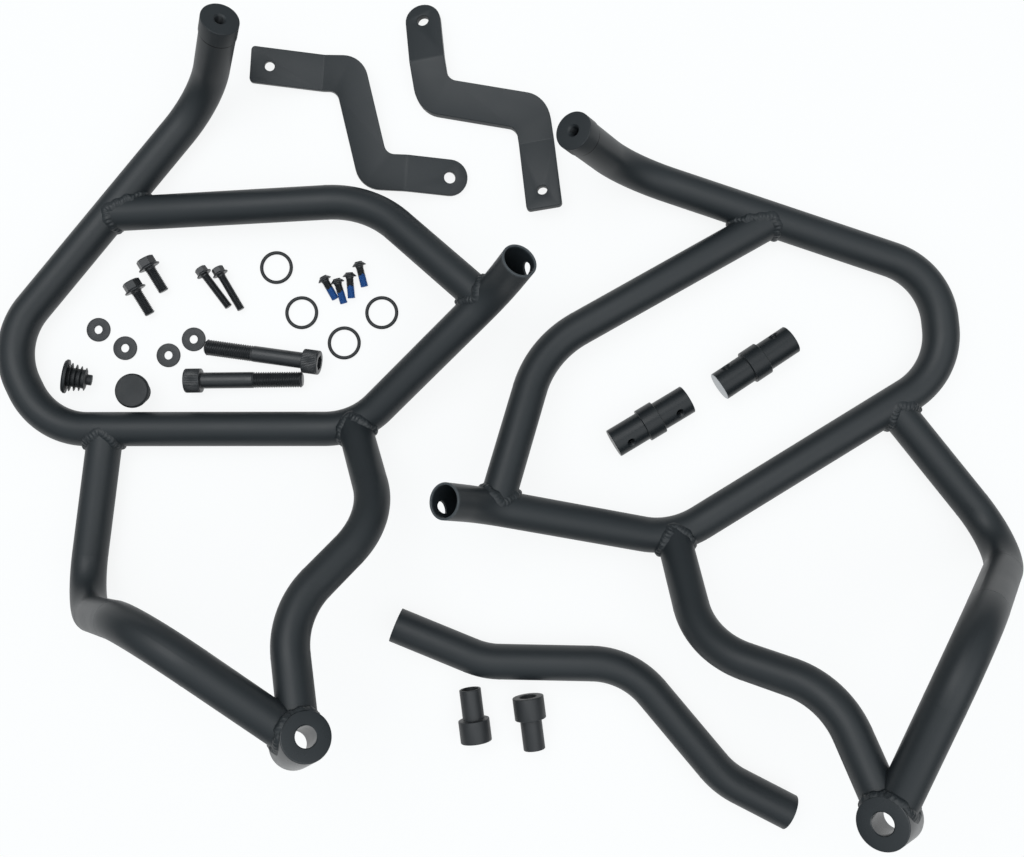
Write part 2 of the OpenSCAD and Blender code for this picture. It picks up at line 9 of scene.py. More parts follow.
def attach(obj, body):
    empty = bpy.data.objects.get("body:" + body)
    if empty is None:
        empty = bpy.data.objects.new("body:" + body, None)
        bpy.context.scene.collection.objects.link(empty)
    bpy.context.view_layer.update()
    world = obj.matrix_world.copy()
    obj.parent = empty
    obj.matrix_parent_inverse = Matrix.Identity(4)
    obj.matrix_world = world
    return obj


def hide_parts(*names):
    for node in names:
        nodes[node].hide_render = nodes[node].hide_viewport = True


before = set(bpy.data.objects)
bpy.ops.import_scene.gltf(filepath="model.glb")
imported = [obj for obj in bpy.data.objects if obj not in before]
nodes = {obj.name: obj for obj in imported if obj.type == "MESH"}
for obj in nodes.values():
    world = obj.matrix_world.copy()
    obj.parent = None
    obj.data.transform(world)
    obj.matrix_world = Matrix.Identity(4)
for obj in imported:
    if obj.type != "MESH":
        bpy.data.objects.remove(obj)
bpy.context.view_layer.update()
mm = 0.001
sides = ("left", "right")
print("frame loaded,", len(nodes), "nodes")


# Camera
view = {
    "height": 766.36,  # above the floor, in millimetres
    "spot": (31.0, -46.9),  # floor point that the tilt is measured over
    "tiltX": -0.03997,
    "tiltY": -0.024905,
    "lens": 36.2,
    "sensor": 36.0,
}


def makeCamera(v):
    data = bpy.data.cameras.new("camera")
    data.lens = v["lens"]
    data.sensor_width = v["sensor"]
    data.clip_start = 0.05
    camera = bpy.data.objects.new("camera", data)
    turn = (Matrix.Rotation(v["tiltX"], 3, "X") @ Matrix.Rotation(v["tiltY"], 3, "Y")).transposed()
    place = Vector((v["spot"][0], v["spot"][1], v["height"])) * mm
    camera.matrix_world = Matrix.Translation(place) @ turn.to_4x4()
    bpy.context.scene.collection.objects.link(camera)
    bpy.context.scene.camera = camera


makeCamera(view)
print("camera set")


# Materials
def linear(hexColour, alpha=1.0):
    parts = [int(hexColour[i:i + 2], 16) / 255 for i in (1, 3, 5)]
    return [p / 12.92 if p <= 0.04045 else ((p + 0.055) / 1.055) ** 2.4 for p in parts] + [alpha]


def addNode(tree, kind, settings=None, **sockets):  # a socket is given by its name, or as i and its number
    node = tree.nodes.new(kind)
    for name, value in (settings or {}).items():
        setattr(node, name, value)
    for name, value in sockets.items():
        numbered = name[0] == "i" and name[1:].isdigit()
        socket = node.inputs[int(name[1:]) if numbered else name.replace("_", " ")]
        if isinstance(value, bpy.types.NodeSocket):
            tree.links.new(value, socket)
        else:
            socket.default_value = value
    return node


def newMaterial(name):
    material = bpy.data.materials.new(name)
    material.use_nodes = True
    material.node_tree.nodes.clear()
    return material, material.node_tree


def finishMaterial(tree, shader):
    out = addNode(tree, "ShaderNodeOutputMaterial")
    tree.links.new(shader.outputs[0], out.inputs["Surface"])


# Polyester powder coat on steel: cured film with a fine grain that breaks up its sheen
powderCoat = {
    "colour": "#1b2023", "pale": "#22272a", "roughness": (0.4, 0.5), "ior": 1.45,
    "grain": 0.7, "patch": 60.0, "bump": 0.02,
}
# The same coat on turned faces: laid thinner, so it stays smoother and mirrors the floor
turnedCoat = {
    "colour": "#1b2023", "pale": "#212629", "roughness": (0.24, 0.34), "ior": 1.5,
    "grain": 0.6, "patch": 25.0, "bump": 0.01,
}
# Black oxide on machined steel: thin dark film over metal, oily sheen
blackOxide = {
    "colour": "#202224", "pale": "#2c2e30", "roughness": (0.28, 0.4), "ior": 1.5,
    "grain": 0.5, "patch": 9.0, "bump": 0.02,
}
# Phosphated steel: dull grey-black of bushes and washers
phosphate = {
    "colour": "#212325", "pale": "#2b2d2f", "roughness": (0.42, 0.56), "ior": 1.5,
    "grain": 0.4, "patch": 14.0, "bump": 0.02,
}
# Carbon-filled nitrile rubber: nearly black, matt
nitrile = {
    "colour": "#171a1c", "pale": "#1d2022", "roughness": (0.48, 0.6), "ior": 1.5,
    "grain": 0.6, "patch": 12.0, "bump": 0.02,
}
# Black zinc on turned bar: the darkest and smoothest of the finishes
satinZinc = {
    "colour": "#12171a", "pale": "#191e21", "roughness": (0.3, 0.4), "ior": 1.4,
    "grain": 0.4, "patch": 20.0, "bump": 0.01,
}
# Painted shade: near-black colour in the groove behind the cap's head, standing in for the shade that falls
# there
gapShade = {"colour": "#030303", "roughness": 0.9, "metal": False}
# Painted highlight on the cut rim of a tube: a lighter colour standing in for light caught by the edge
rimHighlight = {"colour": "#43484b", "roughness": 0.4, "metal": False}
# Turned end left bare: pale steel with a soft sheen
bareSteel = {"colour": "#a9adb0", "roughness": 0.38, "metal": True}
# Dried nylon thread-lock: strong blue, matt, filling the thread
threadLock = {"colour": "#1f4f8c", "roughness": 0.6, "metal": False}


def coatedMaterial(name, m):
    material, tree = newMaterial(name)
    coords = addNode(tree, "ShaderNodeTexCoord").outputs["Object"]
    grain = addNode(tree, "ShaderNodeTexNoise", Vector=coords, Scale=1 / (m["grain"] * mm),
                    Detail=2.0, Roughness=0.55)
    patch = addNode(tree, "ShaderNodeTexNoise", Vector=coords, Scale=1 / (m["patch"] * mm),
                    Detail=3.0, Roughness=0.6)
    colour = addNode(tree, "ShaderNodeMix", {"data_type": "RGBA"}, Factor=patch.outputs["Fac"],
                     i6=linear(m["colour"]), i7=linear(m["pale"]))
    rough = addNode(tree, "ShaderNodeMapRange", Value=patch.outputs["Fac"], From_Min=0.3, From_Max=0.7,
                    To_Min=m["roughness"][0], To_Max=m["roughness"][1])
    bump = addNode(tree, "ShaderNodeBump", Height=grain.outputs["Fac"], Strength=0.35,
                   Distance=m["bump"] * mm)
    shader = addNode(tree, "ShaderNodeBsdfPrincipled", Base_Color=colour.outputs[2],
                     Roughness=rough.outputs[0], IOR=m["ior"], Normal=bump.outputs[0])
    finishMaterial(tree, shader)
    return material


def maskedMaterial(name, m, attribute, over):  # a second finish, or painted shade or highlight, where the piece's own attribute says so
    material = coatedMaterial(name, m)
    tree = material.node_tree
    shader = next(n for n in tree.nodes if n.type == "BSDF_PRINCIPLED")
    coat, sheen = [shader.inputs[k].links[0].from_socket for k in ("Base Color", "Roughness")]
    mask = addNode(tree, "ShaderNodeAttribute", {"attribute_name": attribute}).outputs["Fac"]
    mix = addNode(tree, "ShaderNodeMix", {"data_type": "RGBA"}, Factor=mask,
                  i6=coat, i7=linear(over["colour"]))
    rough = addNode(tree, "ShaderNodeMix", Factor=mask, i2=sheen, i3=over["roughness"])
    tree.links.new(mix.outputs[2], shader.inputs["Base Color"])
    tree.links.new(rough.outputs[0], shader.inputs["Roughness"])
    if over["metal"]:
        tree.links.new(mask, shader.inputs["Metallic"])
    return material


looks = {
    # the cap's gap ring is painted near-black as shade
    "capped": maskedMaterial("black powder coat with painted gap shade", powderCoat, "gap", gapShade),
    "powder": coatedMaterial("black powder coat", powderCoat),
    "turned": coatedMaterial("black powder coat on turned steel", turnedCoat),
    "oxide": coatedMaterial("black oxide steel", blackOxide),
    "phosphate": coatedMaterial("phosphated steel", phosphate),
    "rubber": coatedMaterial("nitrile rubber", nitrile),
    "coupler": maskedMaterial("satin black zinc", satinZinc, "bare", bareSteel),
    "locked": maskedMaterial("black oxide steel with thread lock", blackOxide, "patch", threadLock),
    # the tube's rim gets a painted highlight, a lighter colour on the edge
    "rimmed": maskedMaterial("black powder coat with a painted rim highlight", powderCoat, "rim", rimHighlight),
}


def lookOf(nodeName):
    if nodeName.startswith(("o_ring", "tube_plug")):
        return looks["rubber"]
    if nodeName.startswith(("washer", "spacer")):
        return looks["phosphate"]
    if nodeName.startswith(("coupler", "socket", "m8", "m6", "button")):
        return looks["oxide"]
    return looks["powder"]


for name, obj in nodes.items():
    if obj.material_slots:
        for slot in obj.material_slots:
            slot.material = lookOf(name)
    else:
        obj.data.materials.append(lookOf(name))
print("materials assigned")


# Making pieces
middle = (-31.0, 46.9)  # middle of the layout's box, from the point that the placings count from


def addPiece(name, bm, look, slotName, *replaced, smooth=35.0):
    mesh = bpy.data.meshes.new(name)
    bm.to_mesh(mesh)
    bm.free()
    mesh.materials.append(look)
    mesh.shade_smooth()
    obj = bpy.data.objects.new(name, mesh)
    bpy.context.scene.collection.objects.link(obj)
    mesh.set_sharp_from_angle(angle=math.radians(smooth))
    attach(obj, "root")
    if replaced:
        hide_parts(*replaced)
    return obj


def lathe(profile, steps=64):  # profile of (radius, height) in millimetres, about Z
    bm = bmesh.new()
    verts = [bm.verts.new((r * mm, 0, z * mm)) for r, z in profile]
    edges = [bm.edges.new(pair) for pair in zip(verts, verts[1:])]
    bmesh.ops.spin(bm, geom=verts + edges, cent=(0, 0, 0), axis=(0, 0, 1), angle=2 * math.pi,
                   steps=steps, use_merge=True, use_duplicate=False)
    bmesh.ops.remove_doubles(bm, verts=bm.verts, dist=1e-6)
    bmesh.ops.recalc_face_normals(bm, faces=bm.faces)
    return bm


def arc(cx, cz, radius, fromDeg, toDeg, steps=5):  # points of a rounded corner in a profile
    turns = [math.radians(fromDeg + (toDeg - fromDeg) * i / steps) for i in range(steps + 1)]
    return [(cx + radius * math.cos(a), cz + radius * math.sin(a)) for a in turns]


def rows(radius, start, end, pitch, perTurn=8):  # closely spaced profile points for a thread
    count = max(2, round((end - start) / pitch * perTurn))
    return [(radius, start + (end - start) * i / count) for i in range(count + 1)]


def cutThread(bm, radius, pitch, start, end, runOut=1.2):
    depth = 0.6 * pitch
    for v in bm.verts:
        r, z = math.hypot(v.co.x, v.co.y) / mm, v.co.z / mm
        if start <= z <= end and r > radius - 0.1:
            phase = (z / pitch - math.atan2(v.co.y, v.co.x) / (2 * math.pi)) % 1.0
            groove = 1 - abs(2 * phase - 1)
            fade = max(0.0, min(1.0, (z - start) / runOut, (end - z) / 0.5 + 0.3))
            scale = 1 - depth * groove * fade / r
            v.co.x *= scale
            v.co.y *= scale


def putAt(bm, place, height, *turns):  # place is x and y in millimetres and a turn about Z in degrees
    matrix = Matrix.Translation(Vector((place[0] - middle[0], place[1] - middle[1], height)) * mm)
    matrix = matrix @ Matrix.Rotation(math.radians(place[2]), 4, "Z")
    for axis, degrees in turns:
        matrix = matrix @ Matrix.Rotation(math.radians(degrees), 4, axis)
    bmesh.ops.transform(bm, matrix=matrix, verts=bm.verts)
    return bm


def lieDown(bm, place, headRadius, span, shankRadius):  # rests on the rim of its head and on its tip
    dip = math.degrees(math.atan((headRadius - shankRadius) / span))
    putAt(bm, place, headRadius * math.cos(math.radians(dip)), ("Y", 90 + dip))
    bmesh.ops.translate(bm, verts=bm.verts, vec=(0, 0, -min(0.0, min(v.co.z for v in bm.verts))))
    return bm


def hexSocket(bm, top, across, depth, ring):  # joins the open ring on a head's face to a hexagonal socket
    hexagon = bmesh.ops.create_circle(bm, segments=6, radius=across / 2 / math.cos(math.pi / 6) * mm)["verts"]
    bmesh.ops.translate(bm, verts=hexagon, vec=(0, 0, top * mm))
    edges = list({e for v in hexagon for e in v.link_edges})
    bmesh.ops.subdivide_edges(bm, edges=edges, cuts=len(ring) // 6 - 1)
    rim = [e for e in bm.edges if e.is_boundary or not e.link_faces]
    bmesh.ops.bridge_loops(bm, edges=rim)
    mouth = [e for e in bm.edges if e.is_boundary and abs(e.verts[0].co.z - top * mm) < 1e-6]
    wall = bmesh.ops.extrude_edge_only(bm, edges=mouth)["geom"]
    lower = [v for v in wall if isinstance(v, bmesh.types.BMVert)]
    bmesh.ops.translate(bm, verts=lower, vec=(0, 0, depth * mm))
    bmesh.ops.contextual_create(bm, geom=[e for e in wall if isinstance(e, bmesh.types.BMEdge)])
    bmesh.ops.recalc_face_normals(bm, faces=bm.faces)


def ringAt(bm, height):  # the open ring of vertices at a height
    level = [v for v in bm.verts if abs(v.co.z - height * mm) < 1e-7]
    return [v for v in level if any(e.is_boundary for e in v.link_edges)]


# M12 socket bolts
socketBolt = {
    "places": [(-173.5, 80.8, 171.8), (-249.6, 66.2, 0.7)],
    "length": 75.0, "diameter": 12.0, "head": 18.0, "headHeight": 12.0, "socket": 10.0, "socketDepth": 6.0,
    "pitch": 1.75, "thread": 37.0, "tip": 1.4, "ribs": 48, "ribDepth": 0.28,
}


def makeSocketBolt(name, place, s):
    r, h = s["diameter"] / 2, s["head"] / 2
    profile = [(h - 2.6, -s["headHeight"])] + arc(h - 0.8, 0.8 - s["headHeight"], 0.8, -90, 0, 4)
    profile += [(h, z) for z in (-s["headHeight"] + 1.6, -6.0, -1.3)] + arc(h - 0.5, -0.5, 0.5, 0, 90, 2)
    profile += [(r + 0.6, 0.0), (r, 0.6), (r, 10.0), (r, s["length"] - s["thread"] - 0.1)]
    profile += rows(r, s["length"] - s["thread"], s["length"] - s["tip"], s["pitch"])
    profile += [(r - s["tip"], s["length"]), (0, s["length"])]
    bm = lathe(profile, 192)
    for v in bm.verts:  # fine straight knurl round the head
        z = v.co.z / mm
        if -s["headHeight"] + 1.5 < z < -1.0 and math.hypot(v.co.x, v.co.y) > (h - 0.1) * mm:
            turn = math.atan2(v.co.y, v.co.x)
            scale = 1 - s["ribDepth"] * (0.5 + 0.5 * math.cos(turn * s["ribs"])) / h
            v.co.x *= scale
            v.co.y *= scale
    cutThread(bm, r, s["pitch"], s["length"] - s["thread"], s["length"] - s["tip"])
    hexSocket(bm, -s["headHeight"], s["socket"], s["socketDepth"], ringAt(bm, -s["headHeight"]))
    lieDown(bm, place, h, s["length"] - s["tip"], r)
    addPiece(name, bm, looks["oxide"], "black_oxide_steel", name, smooth=28)


for i, place in enumerate(socketBolt["places"]):
    makeSocketBolt("socket_bolt_%d" % (i + 1), place, socketBolt)
print("socket bolts made")


# M8 and M6 hex flange bolts
flangeBolts = {
    "m8_flange_bolt": {
        "places": [(-290.2, 151.0, -60.6), (-300.4, 133.8, -60.6)],
        "length": 20.0, "diameter": 8.0, "across": 12.0, "flange": 16.0, "rim": 1.2, "head": 8.0,
        "pitch": 1.25, "tip": 0.8,
    },
    "m6_flange_bolt": {
        "places": [(-249.5, 146.1, -53.4), (-237.2, 146.0, -60.0)],
        "length": 30.0, "diameter": 6.0, "across": 8.0, "flange": 11.6, "rim": 1.0, "head": 6.0,
        "pitch": 1.0, "tip": 0.6,
    },
}


def makeFlangeBolt(name, place, s):
    r, f, flat = s["diameter"] / 2, s["flange"] / 2, s["across"] / 2
    corner = flat / math.cos(math.pi / 6)
    top, slope, chamfer = -s["head"], f - corner, flat * 0.93
    profile = [(0, top + 0.5), (flat * 0.55, top + 0.5), (flat * 0.72, top), (chamfer, top)]
    profile += [(corner, top + 0.5 * (corner - chamfer)), (corner, -s["rim"] - slope * 0.5 - 0.4)]
    profile += [(corner + 0.25, -s["rim"] - slope * 0.45)]
    profile += [(f - 0.3, -s["rim"])] + arc(f - 0.3, -s["rim"] / 2, s["rim"] / 2, -80, 80, 5)
    profile += [(f - 0.6, 0.0), (r + 0.4, 0.0), (r, 0.4)]
    profile += rows(r, 1.2, s["length"] - s["tip"], s["pitch"])
    profile += [(r - s["tip"], s["length"]), (0, s["length"])]
    bm = lathe(profile, 72)
    for v in bm.verts:  # hexagon faces come from limiting the turned head
        if v.co.z / mm < -s["rim"] - slope * 0.5 - 0.3:
            reach, turn = math.hypot(v.co.x, v.co.y) / mm, math.atan2(v.co.y, v.co.x)
            limit = flat / math.cos((turn + math.pi / 6) % (math.pi / 3) - math.pi / 6)
            if reach > limit:
                v.co.x *= limit / reach
                v.co.y *= limit / reach
    cutThread(bm, r, s["pitch"], 1.2, s["length"] - s["tip"], 0.8)
    lieDown(bm, place, f, s["length"] - s["tip"], r)
    addPiece(name, bm, looks["oxide"], "black_oxide_steel", name, smooth=28)


for kind, s in flangeBolts.items():
    for i, place in enumerate(s["places"]):
        makeFlangeBolt("%s_%d" % (kind, i + 1), place, s)
print("flange bolts made")


# M6 button head screws with a thread-lock patch
buttonScrew = {
    "places": [(-158.9, 141.6, -61.2), (-149.3, 139.6, -74.0),
               (-140.4, 144.1, -86.0), (-133.2, 152.3, -76.5)],
    "length": 16.0, "diameter": 6.0, "head": 10.5, "headHeight": 3.3, "socket": 4.0, "socketDepth": 2.0,
    "pitch": 1.0, "tip": 0.6, "patchStart": 7.0, "faceDip": 0.12,
}


def makeButtonScrew(name, place, s, seed):
    r, h = s["diameter"] / 2, s["head"] / 2
    dome = (h * h + s["headHeight"] ** 2) / (2 * s["headHeight"])
    centre, face = dome - s["headHeight"], -s["headHeight"] + s["faceDip"]
    rimAngle = math.asin((h - 0.05) / dome)
    startAngle = math.asin(s["socket"] * 0.68 / dome)
    turns = [startAngle + (rimAngle - startAngle) * i / 9 for i in range(10)]
    profile = [(dome * math.sin(a), centre - dome * math.cos(a)) for a in turns]
    profile[0] = (profile[0][0], face)
    profile += [(h, -0.5), (h - 0.25, 0.0), (r + 0.4, 0.0), (r, 0.4)]
    profile += rows(r, 1.0, s["length"] - s["tip"], s["pitch"])
    profile += [(r - s["tip"], s["length"]), (0, s["length"])]
    bm = lathe(profile, 60)
    cutThread(bm, r, s["pitch"], 1.0, s["length"] - s["tip"], 0.6)
    hexSocket(bm, face, s["socket"], s["socketDepth"], ringAt(bm, face))
    layer = bm.verts.layers.float.new("patch")
    shuffle = random.Random(seed)
    lobes = [(shuffle.uniform(0.2, 0.5), shuffle.uniform(0, 6.28), n) for n in (1, 2, 3, 5)]
    for v in bm.verts:
        turn = math.atan2(v.co.y, v.co.x)
        edge = s["patchStart"] + sum(size * math.sin(n * turn + phase) for size, phase, n in lobes)
        v[layer] = 1.0 if v.co.z / mm > edge else 0.0
    lieDown(bm, place, h, s["length"] - s["tip"], r)
    addPiece(name, bm, looks["locked"], "black_oxide_steel", name, smooth=28)


for i, place in enumerate(buttonScrew["places"]):
    makeButtonScrew("button_screw_%d" % (i + 1), place, buttonScrew, 11 + i)
print("button screws made")


# Washers, O-rings and spacers
washer = {
    "places": [(-331.2, 105.5, 0), (-310.7, 91.5, 0), (-277.7, 86.0, 0), (-258.7, 98.0, 0)],
    "outside": 18.0, "hole": 6.4, "thickness": 1.6, "edge": 0.25,
}
oRing = {
    "places": [(-196.4, 152.0, 0), (-177.0, 117.8, 0), (-144.8, 94.9, 0), (-116.7, 117.6, 0)],
    "outside": 25.0, "section": 2.6,
}
spacer = {
    "places": [(-44.6, -197.0, 97.3), (-7.3, -164.6, -82.7)],
    "outside": 22.8, "head": 16.0, "neck": 15.8, "neckLength": 22.0, "bore": 12.5, "edge": 0.5,
}


def latheLoop(profile, steps=64):  # a closed section, such as a washer's
    bm = lathe(profile + profile[:1], steps)
    bmesh.ops.recalc_face_normals(bm, faces=bm.faces)
    return bm


def makeWasher(name, place, s):
    outer, inner, t, e = s["outside"] / 2, s["hole"] / 2, s["thickness"], s["edge"]
    profile = arc(outer - e, e, e, -90, 0, 3) + arc(outer - 2 * e, t - 2 * e, 2 * e, 0, 90, 4)
    profile += arc(inner + e, t - e, e, 90, 180, 3) + arc(inner + e, e, e, 180, 270, 3)
    addPiece(name, putAt(latheLoop(profile, 72), place, 0), looks["phosphate"], "black_oxide_steel", name)


def makeRing(name, place, s):
    half = s["section"] / 2
    profile = arc(s["outside"] / 2 - half, half, half, -180, 180, 20)[:-1]
    addPiece(name, putAt(latheLoop(profile, 96), place, 0), looks["rubber"], "black_rubber", name, smooth=80)


def makeSpacer(name, place, s):
    o, n, b, e = s["outside"] / 2, s["neck"] / 2, s["bore"] / 2, s["edge"]
    length = s["head"] + s["neckLength"]
    profile = arc(o - e, e, e, -90, 0, 3) + arc(o - e, s["head"] - e, e, 0, 90, 3)
    profile += [(n + 0.3, s["head"]), (n, s["head"] + 0.3)] + arc(n - e, length - e, e, 0, 90, 3)
    profile += [(b + e, length), (b, length - e), (b, e), (b + e, 0)]
    bm = putAt(latheLoop(profile, 80), place, s["outside"] / 2, ("Y", 90))
    addPiece(name, bm, looks["phosphate"], "black_oxide_steel", name)


for i in range(4):
    makeWasher("washer_%d" % (i + 1), washer["places"][i], washer)
    makeRing("o_ring_%d" % (i + 1), oRing["places"][i], oRing)
for i in range(2):
    makeSpacer("spacer_%d" % (i + 1), spacer["places"][i], spacer)
print("washers, rings and spacers made")


# Tube plugs
tubePlug = {
    "side": (-348.9, 69.1, -8.6), "upright": (-298.0, 58.0, 0.0),
    "outside": 25.4, "head": 3.0, "body": 13.0, "core": 14.0, "nub": 8.0, "nubLength": 4.0,
    "fin": 21.4, "lastFin": 17.4, "fins": 4, "finThickness": 1.2,
}


def plugMesh(s):
    o, c, n = s["outside"] / 2, s["core"] / 2, s["nub"] / 2
    top, body, thick = -s["head"], s["body"], s["finThickness"]
    pitch = (body - thick) / (s["fins"] - 0.5)
    profile = [(0, top + 0.2), (o * 0.5, top + 0.15), (o * 0.82, top), (o - 1.2, top + 0.1)]
    profile += [(o - 0.4, top + 1.0), (o, top + 1.3)] + arc(o - 0.4, -0.4, 0.4, 0, 90, 4)
    profile += [(c + 0.4, 0.0), (c, 0.3)]
    for i in range(s["fins"]):  # thin springy discs, each smaller than the one before
        f = (s["fin"] - (s["fin"] - s["lastFin"]) * i / (s["fins"] - 1)) / 2
        z = body - thick - (s["fins"] - 1 - i) * pitch
        profile += [(c + 0.3, z), (f - 0.2, z + 0.35)] + arc(f - 0.15, z + 0.5, 0.15, -80, 80, 3)
        profile += [(f - 0.5, z + 0.75), (c + 0.3, z + thick), (c, z + thick + 0.2)]
    profile = [p for p in profile if p[1] <= body] + [(n + 0.5, body), (n, body + 0.4)]
    end = body + s["nubLength"]
    return lathe(profile + arc(n - 0.6, end - 0.6, 0.6, 0, 90, 4) + [(0, end)], 72)


def makePlugs(s):
    bm = lieDown(plugMesh(s), s["side"], s["outside"] / 2, s["body"], s["lastFin"] / 2)
    addPiece("tube_plug_1", bm, looks["rubber"], "black_rubber", "tube_plug_1", smooth=40)
    bm = putAt(plugMesh(s), s["upright"], s["body"] + s["nubLength"], ("X", 180))
    addPiece("tube_plug_2", bm, looks["rubber"], "black_rubber", "tube_plug_2", smooth=40)


makePlugs(tubePlug)
print("tube plugs made")


# Couplers
coupler = {
    "places": [(82.5, 35.3, 31.0), (159.0, 77.9, 33.5)], "rolls": [36.0, -62.0], "bare": [False, True],
    "outside": 21.6, "collarOutside": 25.0, "collar": 13.0, "length": 63.0, "edge": 0.4,
    "tap": 5.0, "tapDepth": 12.0, "tapAt": 20.58, "pitch": 1.0,
}


def spareObject(bm):
    mesh = bpy.data.meshes.new("spare")
    bm.to_mesh(mesh)
    bm.free()
    spare = bpy.data.objects.new("spare", mesh)
    bpy.context.scene.collection.objects.link(spare)
    return spare


def drill(bm, cutters):  # the blank less each cutter
    blank, tools = spareObject(bm), [spareObject(c) for c in cutters]
    for tool in tools:
        cut = blank.modifiers.new("drill", "BOOLEAN")
        cut.operation, cut.solver, cut.object = "DIFFERENCE", "EXACT", tool
    drilled = bmesh.new()
    drilled.from_object(blank, bpy.context.evaluated_depsgraph_get())
    for spare in tools + [blank]:
        bpy.data.objects.remove(spare)
    return drilled


def tapCutter(s):
    hole, low, high = s["tap"] / 2, 1.0 - s["tapDepth"], -1.65
    profile = [(0, low - 1.0), (hole * 0.4, low - 1.0)] + rows(hole, low, high - 0.05, s["pitch"], 6)
    tap = lathe(profile + [(hole, -1.5), (hole + 1.0, -0.5), (hole + 1.0, 2.0), (0, 2.0)], 40)
    for v in tap.verts:
        z, reach = v.co.z / mm, math.hypot(v.co.x, v.co.y) / mm
        if low <= z <= high and reach > hole - 0.01:
            phase = (z / s["pitch"] - math.atan2(v.co.y, v.co.x) / (2 * math.pi)) % 1.0
            scale = 1 + 0.4 * (1 - abs(2 * phase - 1)) / hole
            v.co.x *= scale
            v.co.y *= scale
    return tap


def makeCoupler(name, place, roll, bareEnd, s):
    r, c, half, w = s["outside"] / 2, s["collarOutside"] / 2, s["length"] / 2, s["collar"] / 2
    side = [(0, half), (r * 0.5, half), (r - s["edge"], half), (r, half - s["edge"])]
    side += [(r, w + 0.15), (r + 0.15, w), (c - 0.25, w), (c, w - 0.25)]
    bm = lathe(side + [(x, -z) for x, z in reversed(side)], 96)
    bmesh.ops.rotate(bm, cent=(0, 0, 0), matrix=Matrix.Rotation(math.pi / 2, 3, "Y"), verts=bm.verts)
    taps = [tapCutter(s), tapCutter(s)]
    for tap, end in zip(taps, (-1, 1)):
        bmesh.ops.translate(tap, verts=tap.verts, vec=(end * s["tapAt"] * mm, 0, r * mm))
    drilled = drill(bm, taps)
    layer = drilled.verts.layers.float.new("bare")
    for v in drilled.verts:
        v[layer] = 1.0 if bareEnd and v.co.x / mm < 0.05 - half else 0.0
    putAt(drilled, place, c, ("X", roll))
    addPiece(name, drilled, looks["coupler"], "black_coated_steel", name, smooth=30)


for i, (place, roll, bareEnd) in enumerate(zip(coupler["places"], coupler["rolls"], coupler["bare"])):
    makeCoupler("coupler_%d" % (i + 1), place, roll, bareEnd, coupler)
print("couplers made")


# Brackets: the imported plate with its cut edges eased
bracketEdge = {"radius": 0.5, "segments": 3, "sharp": 50.0, "merge": 0.002}


def makeBracket(name, s):
    bm = bmesh.new()
    bm.from_mesh(nodes[name].data)
    bmesh.ops.remove_doubles(bm, verts=bm.verts, dist=s["merge"] * mm)
    bmesh.ops.dissolve_limit(bm, angle_limit=math.radians(0.5), verts=bm.verts, edges=bm.edges)
    limit = math.radians(s["sharp"])
    sharp = [e for e in bm.edges if len(e.link_faces) == 2 and e.calc_face_angle(0) > limit]
    bmesh.ops.bevel(bm, geom=sharp, offset=s["radius"] * mm, offset_type="OFFSET", segments=s["segments"],
                    profile=0.5, affect="EDGES", material=-1, clamp_overlap=True)
    addPiece(name, bm, looks["powder"], "black_powder_coat", name, smooth=32)


for i in (1, 2):
    makeBracket("bracket_%d" % i, bracketEdge)
print("brackets eased")


# Side guards: the tubes' centre lines, which the hoop tubes, bosses, caps and welds follow
guard = {
    "left": (-365.0, 30.0, 0.0), "right": (296.0, 71.0, 31.6), "stand": 13.1,
    "mainRadius": 12.7, "armRadius": 12.5, "wall": 1.6,
    "bossRadius": 16.0, "bossBore": 6.75, "bossLength": 30.0, "bossMiddle": (219.0, -196.0, 118.0),
    "bend": 58.0, "hoopBend": 52.0, "footBend": 38.0, "braceBend": 75.0,
    "lean": 35.0, "capLean": 30.0, "leanHeading": 40.0,
    "lowerRun": 232.0, "hoopHigh": (-32.0, 64.0, 0.0), "armTop": (118.0, 248.0, 0.0),
    "elbow": (336.0, 95.0, 40.0), "topRun": 84.0, "openRun": 39.0, "capLength": 5.0,
    "braceAt": 124.0, "braceCorner": (195.0, 7.0, 10.0),
    "legAt": 46.0, "footCorner": (-15.0, -134.0, 0.0), "outerCorner": (-98.0, 74.0, 23.0),
    "innerKnee": (26.0, -63.0, 57.0), "innerCorner": (-15.0, 74.0, -24.0),
}


def leanAxis(g, lean):
    tilt, heading = math.radians(g[lean]), math.radians(g["leanHeading"])
    return Vector((math.sin(tilt) * math.cos(heading), math.sin(tilt) * math.sin(heading), math.cos(tilt)))


mountAxis, capAxis = leanAxis(guard, "lean"), leanAxis(guard, "capLean")


def onBend(mark, share):  # the point a share of the way round a bend
    start, inward, come, radius, turn = mark
    angle = turn * share
    return start + inward * radius * (1 - math.cos(angle)) + come * radius * math.sin(angle)


def centreLine(corners, radii, step=1.0):  # straight runs and arcs, as closely spaced points in millimetres
    points, marks = [corners[0]], []
    for i in range(1, len(corners) - 1):
        come, go = (corners[i] - corners[i - 1]).normalized(), (corners[i + 1] - corners[i]).normalized()
        turn = come.angle(go)
        back = radii[i] * math.tan(turn / 2)
        start = corners[i] - come * back
        inward = (go - come * math.cos(turn)).normalized()
        count = max(2, int(radii[i] * turn / step))
        marks.append((start, inward, come, radii[i], turn))
        points += [onBend(marks[-1], k / count) for k in range(count + 1)]
    points.append(corners[-1])
    dense = [points[0]]
    for a, b in zip(points, points[1:]):
        gap = (b - a).length
        for k in range(1, max(1, int(gap / step)) + 1):
            dense.append(a.lerp(b, k / max(1, int(gap / step))))
    return dense, marks


